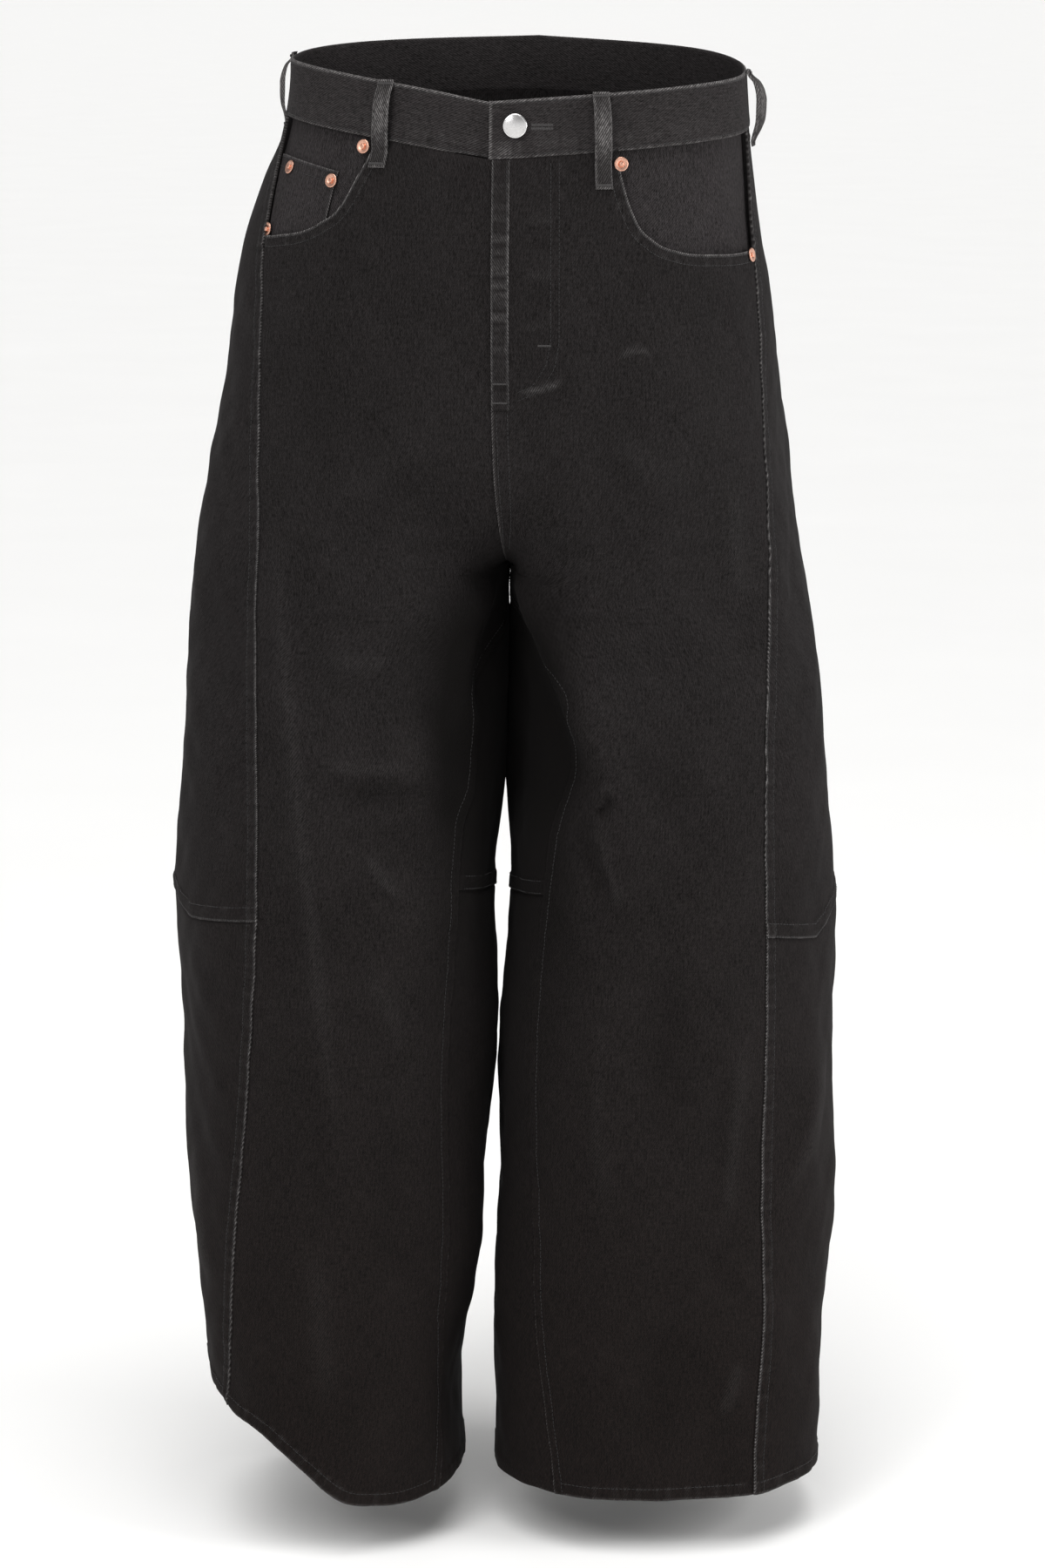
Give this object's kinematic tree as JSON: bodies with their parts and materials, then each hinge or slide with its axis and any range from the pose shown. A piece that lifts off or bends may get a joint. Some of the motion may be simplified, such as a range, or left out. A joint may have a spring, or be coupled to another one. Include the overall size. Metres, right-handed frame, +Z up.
{
  "type": "barrel-leg jeans",
  "caption": "Near-black washed denim jeans with a curved barrel leg, cropped hems, copper rivets and a plain steel button, in the hollow form they keep when worn",
  "frame": {"origin": "the middle of the waist, on the garment's centre plane, at half the waistband's height at the centre front", "axes": "+Z is up, -Y is the front of the garment, +X is the wearer's left side"},
  "size_m": [0.5046, 0.2908, 1.0926],
  "materials": {
    "denim": "near-black washed cotton denim twill, matt",
    "worn_denim": "black denim rubbed grey along its folded edges",
    "steel": "plain steel-coloured shank button, satin",
    "copper": "copper-coloured rivet with a small centre nub"
  },
  "bodies": {
    "root": {"front_panel_left": "denim", "front_panel_right": "denim", "back_upper_left": "denim", "back_upper_right": "denim", "back_lower_left": "denim", "back_lower_right": "denim", "waistband": "denim", "fly": "denim", "pocket_facing_left": "denim", "pocket_facing_right": "denim", "coin_pocket": "denim", "belt_loop_front_left": "worn_denim", "belt_loop_front_right": "worn_denim", "belt_loop_side_left": "worn_denim", "belt_loop_side_right": "worn_denim", "button": "steel", "rivet_mouth_left": "copper", "rivet_side_left": "copper", "rivet_mouth_right": "copper", "rivet_side_right": "copper", "rivet_coin_inner": "copper", "rivet_coin_outer": "copper"}
  },
  "joints": []
}
